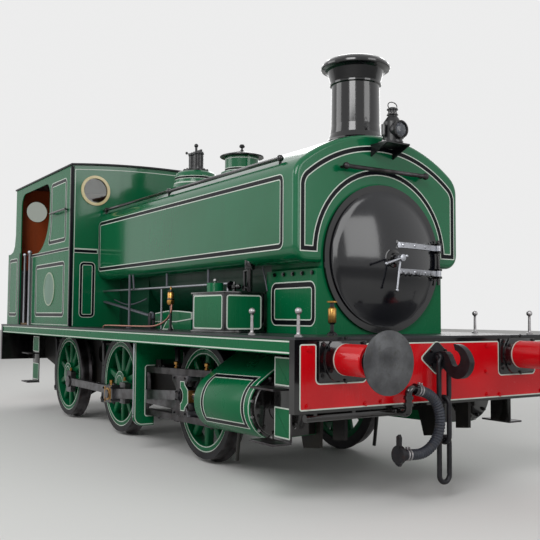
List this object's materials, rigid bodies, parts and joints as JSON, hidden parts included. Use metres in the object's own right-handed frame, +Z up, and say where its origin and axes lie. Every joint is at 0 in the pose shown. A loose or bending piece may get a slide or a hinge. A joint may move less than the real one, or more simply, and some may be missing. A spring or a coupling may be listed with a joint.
{
  "type": "saddle tank steam locomotive",
  "caption": "Small six-coupled steam locomotive with a saddle tank over the boiler, outside cylinders, rods, a half-open cab and a bunker, on flanged wheels for rails.",
  "frame": {"origin": "under the middle of the length over buffers, at the bottom of the wheel flanges, 28 mm below the rail tops", "axes": "+X forward to the chimney end, +Y to the engine's left, +Z up"},
  "size_m": [8.296, 2.5, 3.4298],
  "materials": {
    "black_paint": "gloss paint",
    "brass": "polished",
    "bright_steel": "bare, oiled",
    "dark_iron": "oily",
    "glass": "clear",
    "green_paint": "gloss paint",
    "hose_rubber": "ribbed rubber",
    "red_paint": "gloss paint",
    "worn_steel": "worn, greasy"
  },
  "bodies": {
    "chassis": {"axleboxes": "black_paint", "boiler": "black_paint", "brake_gear": "dark_iron", "buffer_beam_front": "red_paint", "buffer_beam_rear": "red_paint", "buffer_heads_front": "worn_steel", "buffer_heads_rear": "worn_steel", "buffer_housings_front": "red_paint", "buffer_housings_rear": "red_paint", "bunker": "green_paint", "cab_front": "green_paint", "cab_rear": "green_paint", "cab_roof": "black_paint", "cab_side_left": "green_paint", "cab_side_right": "green_paint", "chimney": "black_paint", "cylinder_left": "green_paint", "cylinder_right": "green_paint", "dome": "green_paint", "drawgear_front": "worn_steel", "drawgear_rear": "worn_steel", "footplate": "black_paint", "footplate_boxes": "green_paint", "frame_plate_left": "green_paint", "frame_plate_right": "green_paint", "frame_stretchers": "green_paint", "handrails": "bright_steel", "headlamp": "dark_iron", "hose_coupling": "dark_iron", "lubricators": "brass", "motion_bracket_left": "green_paint", "motion_bracket_right": "green_paint", "porthole_glass": "glass", "porthole_rims": "brass", "saddle_tank": "green_paint", "safety_valves": "black_paint", "slide_bars_left": "bright_steel", "slide_bars_right": "bright_steel", "smokebox": "green_paint", "smokebox_ring": "black_paint", "steps": "black_paint", "tank_filler": "green_paint", "vacuum_hose": "hose_rubber", "vacuum_standpipe": "dark_iron", "valance_left": "green_paint", "valance_right": "green_paint"},
    "wheelset_middle": {"wheels_middle": "green_paint", "tyres_middle": "black_paint"},
    "wheelset_front": {"wheels_front": "green_paint", "tyres_front": "black_paint"},
    "wheelset_rear": {"wheels_rear": "green_paint", "tyres_rear": "black_paint"},
    "coupling_rod_right": {"coupling_rod_right": "bright_steel"},
    "crosshead_right": {"crosshead_right": "bright_steel"},
    "connecting_rod_right": {"connecting_rod_right": "bright_steel"},
    "coupling_rod_left": {"coupling_rod_left": "bright_steel"},
    "crosshead_left": {"crosshead_left": "bright_steel"},
    "connecting_rod_left": {"connecting_rod_left": "bright_steel"},
    "smokebox_door": {"smokebox_door": "black_paint"},
    "filler_lid": {"filler_lid": "black_paint"}
  },
  "joints": [
    {"name": "middle_wheels_spin", "type": "hinge", "parent": "chassis", "child": "wheelset_middle", "pos_m": [-0.318, 0, 0.549], "axis": [0, 1, 0], "continuous": true},
    {"name": "front_wheels_spin", "type": "hinge", "parent": "chassis", "child": "wheelset_front", "pos_m": [1.612, 0, 0.549], "axis": [0, 1, 0], "continuous": true},
    {"name": "rear_wheels_spin", "type": "hinge", "parent": "chassis", "child": "wheelset_rear", "pos_m": [-2.045, 0, 0.549], "axis": [0, 1, 0], "continuous": true},
    {"name": "coupling_rod_right_turn", "type": "hinge", "parent": "wheelset_middle", "child": "coupling_rod_right", "pos_m": [-0.07643, -0.852, 0.47051], "axis": [0, 1, 0], "continuous": true},
    {"name": "crosshead_right_slide", "type": "slide", "parent": "chassis", "child": "crosshead_right", "axis": [0.9997, 0, 0.0262], "range_m": [-0.4913, 0.0167]},
    {"name": "connecting_rod_right_swing", "type": "hinge", "parent": "crosshead_right", "child": "connecting_rod_right", "pos_m": [1.61865, -0.985, 0.59971], "axis": [0, 1, 0], "range_deg": [-5.73, 11.45]},
    {"name": "coupling_rod_left_turn", "type": "hinge", "parent": "wheelset_middle", "child": "coupling_rod_left", "pos_m": [-0.23951, 0.852, 0.79057], "axis": [0, 1, 0], "continuous": true},
    {"name": "crosshead_left_slide", "type": "slide", "parent": "chassis", "child": "crosshead_left", "axis": [0.9997, 0, 0.0262], "range_m": [-0.3218, 0.1862]},
    {"name": "connecting_rod_left_swing", "type": "hinge", "parent": "crosshead_left", "child": "connecting_rod_left", "pos_m": [1.44924, 0.985, 0.59528], "axis": [0, 1, 0], "range_deg": [-16.69, 0.5]},
    {"name": "smokebox_door_swing", "type": "hinge", "parent": "chassis", "child": "smokebox_door", "pos_m": [3.1355, 0.553, 1.748], "axis": [0, 0, 1], "range_deg": [0, 110]},
    {"name": "filler_lid_tilt", "type": "hinge", "parent": "chassis", "child": "filler_lid", "pos_m": [0.639, 0, 2.935], "axis": [0, -1, 0], "range_deg": [0, 100]}
  ],
  "couplings": [
    {"joint": "front_wheels_spin", "follows": "middle_wheels_spin", "ratio": 1},
    {"joint": "rear_wheels_spin", "follows": "middle_wheels_spin", "ratio": 1},
    {"joint": "coupling_rod_right_turn", "follows": "middle_wheels_spin", "ratio": -1},
    {"joint": "coupling_rod_left_turn", "follows": "middle_wheels_spin", "ratio": -1}
  ]
}
